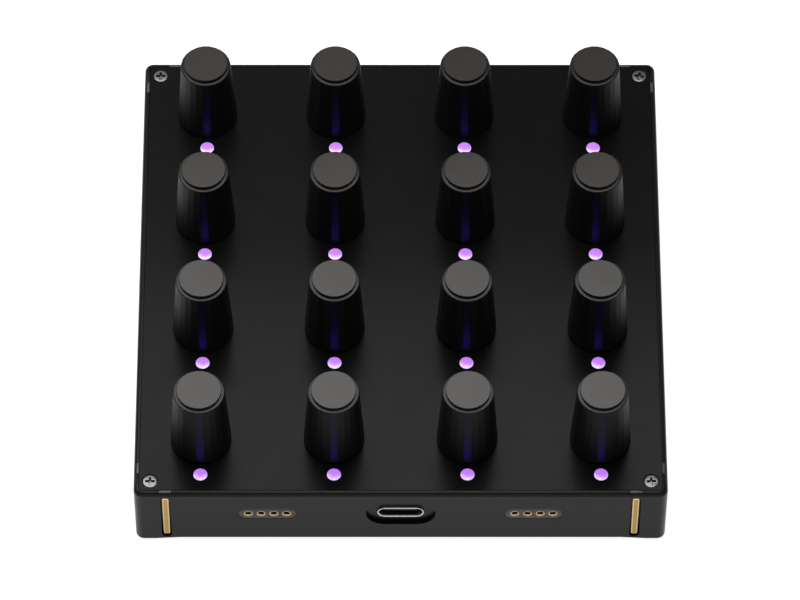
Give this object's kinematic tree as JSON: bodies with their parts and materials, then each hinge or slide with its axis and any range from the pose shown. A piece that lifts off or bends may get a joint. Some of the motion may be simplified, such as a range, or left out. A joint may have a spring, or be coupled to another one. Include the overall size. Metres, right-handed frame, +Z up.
{
  "type": "knob controller",
  "caption": "Square desk controller with a grid of tall faceted push-and-turn knobs, a lamp in front of each, side contacts, magnets and a USB socket.",
  "frame": {"origin": "on the desk under the middle of the case, at the bottom of the feet", "axes": "+Z up along the knob axes, the front wall with the USB socket faces -Y, +X to the right seen from the front"},
  "size_m": [0.1064, 0.1064, 0.0349],
  "materials": {
    "case_plastic": "fine matte moulding",
    "panel_metal": "matte black, fine texture",
    "screw_steel": "bright zinc",
    "board_laminate": "solder mask",
    "encoder_plastic": "moulded",
    "lamp_plastic": "clear, lit violet",
    "socket_steel": "drawn and plated",
    "block_plastic": "moulded",
    "contact_gold": "gold plated",
    "magnet_gold": "plated, satin",
    "plug_plastic": "moulded",
    "foot_rubber": "matte",
    "knob_plastic": "satin with polished flats",
    "shaft_steel": "turned",
    "plunger_plastic": "moulded"
  },
  "bodies": {
    "base": {"case": "case_plastic", "top_plate": "panel_metal", "panel_screws": "screw_steel", "main_board": "board_laminate", "encoder_housings": "encoder_plastic", "light_pipes": "lamp_plastic", "usb_socket": "socket_steel", "contact_blocks": "block_plastic", "contact_pads": "contact_gold", "magnets": "magnet_gold", "magnet_plugs": "plug_plastic", "rubber_feet": "foot_rubber"},
    "plunger_a1": {"plunger_a1": "plunger_plastic"},
    "knob_a1": {"knob_a1": "knob_plastic", "shaft_a1": "shaft_steel"},
    "plunger_a2": {"plunger_a2": "plunger_plastic"},
    "knob_a2": {"knob_a2": "knob_plastic", "shaft_a2": "shaft_steel"},
    "plunger_a3": {"plunger_a3": "plunger_plastic"},
    "knob_a3": {"knob_a3": "knob_plastic", "shaft_a3": "shaft_steel"},
    "plunger_a4": {"plunger_a4": "plunger_plastic"},
    "knob_a4": {"knob_a4": "knob_plastic", "shaft_a4": "shaft_steel"},
    "plunger_b1": {"plunger_b1": "plunger_plastic"},
    "knob_b1": {"knob_b1": "knob_plastic", "shaft_b1": "shaft_steel"},
    "plunger_b2": {"plunger_b2": "plunger_plastic"},
    "knob_b2": {"knob_b2": "knob_plastic", "shaft_b2": "shaft_steel"},
    "plunger_b3": {"plunger_b3": "plunger_plastic"},
    "knob_b3": {"knob_b3": "knob_plastic", "shaft_b3": "shaft_steel"},
    "plunger_b4": {"plunger_b4": "plunger_plastic"},
    "knob_b4": {"knob_b4": "knob_plastic", "shaft_b4": "shaft_steel"},
    "plunger_c1": {"plunger_c1": "plunger_plastic"},
    "knob_c1": {"knob_c1": "knob_plastic", "shaft_c1": "shaft_steel"},
    "plunger_c2": {"plunger_c2": "plunger_plastic"},
    "knob_c2": {"knob_c2": "knob_plastic", "shaft_c2": "shaft_steel"},
    "plunger_c3": {"plunger_c3": "plunger_plastic"},
    "knob_c3": {"knob_c3": "knob_plastic", "shaft_c3": "shaft_steel"},
    "plunger_c4": {"plunger_c4": "plunger_plastic"},
    "knob_c4": {"knob_c4": "knob_plastic", "shaft_c4": "shaft_steel"},
    "plunger_d1": {"plunger_d1": "plunger_plastic"},
    "knob_d1": {"knob_d1": "knob_plastic", "shaft_d1": "shaft_steel"},
    "plunger_d2": {"plunger_d2": "plunger_plastic"},
    "knob_d2": {"knob_d2": "knob_plastic", "shaft_d2": "shaft_steel"},
    "plunger_d3": {"plunger_d3": "plunger_plastic"},
    "knob_d3": {"knob_d3": "knob_plastic", "shaft_d3": "shaft_steel"},
    "plunger_d4": {"plunger_d4": "plunger_plastic"},
    "knob_d4": {"knob_d4": "knob_plastic", "shaft_d4": "shaft_steel"}
  },
  "joints": [
    {"name": "press_a1", "type": "slide", "parent": "base", "child": "plunger_a1", "axis": [0, 0, -1], "range_m": [0, 0.00025], "stiffness_N_per_m": 2000, "springref_m": -0.0015},
    {"name": "turn_a1", "type": "hinge", "parent": "plunger_a1", "child": "knob_a1", "pos_m": [-0.0399, 0.0399, 0.01738], "axis": [0, 0, 1], "continuous": true},
    {"name": "press_a2", "type": "slide", "parent": "base", "child": "plunger_a2", "axis": [0, 0, -1], "range_m": [0, 0.00025], "stiffness_N_per_m": 2000, "springref_m": -0.0015},
    {"name": "turn_a2", "type": "hinge", "parent": "plunger_a2", "child": "knob_a2", "pos_m": [-0.0133, 0.0399, 0.01738], "axis": [0, 0, 1], "continuous": true},
    {"name": "press_a3", "type": "slide", "parent": "base", "child": "plunger_a3", "axis": [0, 0, -1], "range_m": [0, 0.00025], "stiffness_N_per_m": 2000, "springref_m": -0.0015},
    {"name": "turn_a3", "type": "hinge", "parent": "plunger_a3", "child": "knob_a3", "pos_m": [0.0133, 0.0399, 0.01738], "axis": [0, 0, 1], "continuous": true},
    {"name": "press_a4", "type": "slide", "parent": "base", "child": "plunger_a4", "axis": [0, 0, -1], "range_m": [0, 0.00025], "stiffness_N_per_m": 2000, "springref_m": -0.0015},
    {"name": "turn_a4", "type": "hinge", "parent": "plunger_a4", "child": "knob_a4", "pos_m": [0.0399, 0.0399, 0.01738], "axis": [0, 0, 1], "continuous": true},
    {"name": "press_b1", "type": "slide", "parent": "base", "child": "plunger_b1", "axis": [0, 0, -1], "range_m": [0, 0.00025], "stiffness_N_per_m": 2000, "springref_m": -0.0015},
    {"name": "turn_b1", "type": "hinge", "parent": "plunger_b1", "child": "knob_b1", "pos_m": [-0.0399, 0.0133, 0.01738], "axis": [0, 0, 1], "continuous": true},
    {"name": "press_b2", "type": "slide", "parent": "base", "child": "plunger_b2", "axis": [0, 0, -1], "range_m": [0, 0.00025], "stiffness_N_per_m": 2000, "springref_m": -0.0015},
    {"name": "turn_b2", "type": "hinge", "parent": "plunger_b2", "child": "knob_b2", "pos_m": [-0.0133, 0.0133, 0.01738], "axis": [0, 0, 1], "continuous": true},
    {"name": "press_b3", "type": "slide", "parent": "base", "child": "plunger_b3", "axis": [0, 0, -1], "range_m": [0, 0.00025], "stiffness_N_per_m": 2000, "springref_m": -0.0015},
    {"name": "turn_b3", "type": "hinge", "parent": "plunger_b3", "child": "knob_b3", "pos_m": [0.0133, 0.0133, 0.01738], "axis": [0, 0, 1], "continuous": true},
    {"name": "press_b4", "type": "slide", "parent": "base", "child": "plunger_b4", "axis": [0, 0, -1], "range_m": [0, 0.00025], "stiffness_N_per_m": 2000, "springref_m": -0.0015},
    {"name": "turn_b4", "type": "hinge", "parent": "plunger_b4", "child": "knob_b4", "pos_m": [0.0399, 0.0133, 0.01738], "axis": [0, 0, 1], "continuous": true},
    {"name": "press_c1", "type": "slide", "parent": "base", "child": "plunger_c1", "axis": [0, 0, -1], "range_m": [0, 0.00025], "stiffness_N_per_m": 2000, "springref_m": -0.0015},
    {"name": "turn_c1", "type": "hinge", "parent": "plunger_c1", "child": "knob_c1", "pos_m": [-0.0399, -0.0133, 0.01738], "axis": [0, 0, 1], "continuous": true},
    {"name": "press_c2", "type": "slide", "parent": "base", "child": "plunger_c2", "axis": [0, 0, -1], "range_m": [0, 0.00025], "stiffness_N_per_m": 2000, "springref_m": -0.0015},
    {"name": "turn_c2", "type": "hinge", "parent": "plunger_c2", "child": "knob_c2", "pos_m": [-0.0133, -0.0133, 0.01738], "axis": [0, 0, 1], "continuous": true},
    {"name": "press_c3", "type": "slide", "parent": "base", "child": "plunger_c3", "axis": [0, 0, -1], "range_m": [0, 0.00025], "stiffness_N_per_m": 2000, "springref_m": -0.0015},
    {"name": "turn_c3", "type": "hinge", "parent": "plunger_c3", "child": "knob_c3", "pos_m": [0.0133, -0.0133, 0.01738], "axis": [0, 0, 1], "continuous": true},
    {"name": "press_c4", "type": "slide", "parent": "base", "child": "plunger_c4", "axis": [0, 0, -1], "range_m": [0, 0.00025], "stiffness_N_per_m": 2000, "springref_m": -0.0015},
    {"name": "turn_c4", "type": "hinge", "parent": "plunger_c4", "child": "knob_c4", "pos_m": [0.0399, -0.0133, 0.01738], "axis": [0, 0, 1], "continuous": true},
    {"name": "press_d1", "type": "slide", "parent": "base", "child": "plunger_d1", "axis": [0, 0, -1], "range_m": [0, 0.00025], "stiffness_N_per_m": 2000, "springref_m": -0.0015},
    {"name": "turn_d1", "type": "hinge", "parent": "plunger_d1", "child": "knob_d1", "pos_m": [-0.0399, -0.0399, 0.01738], "axis": [0, 0, 1], "continuous": true},
    {"name": "press_d2", "type": "slide", "parent": "base", "child": "plunger_d2", "axis": [0, 0, -1], "range_m": [0, 0.00025], "stiffness_N_per_m": 2000, "springref_m": -0.0015},
    {"name": "turn_d2", "type": "hinge", "parent": "plunger_d2", "child": "knob_d2", "pos_m": [-0.0133, -0.0399, 0.01738], "axis": [0, 0, 1], "continuous": true},
    {"name": "press_d3", "type": "slide", "parent": "base", "child": "plunger_d3", "axis": [0, 0, -1], "range_m": [0, 0.00025], "stiffness_N_per_m": 2000, "springref_m": -0.0015},
    {"name": "turn_d3", "type": "hinge", "parent": "plunger_d3", "child": "knob_d3", "pos_m": [0.0133, -0.0399, 0.01738], "axis": [0, 0, 1], "continuous": true},
    {"name": "press_d4", "type": "slide", "parent": "base", "child": "plunger_d4", "axis": [0, 0, -1], "range_m": [0, 0.00025], "stiffness_N_per_m": 2000, "springref_m": -0.0015},
    {"name": "turn_d4", "type": "hinge", "parent": "plunger_d4", "child": "knob_d4", "pos_m": [0.0399, -0.0399, 0.01738], "axis": [0, 0, 1], "continuous": true}
  ]
}
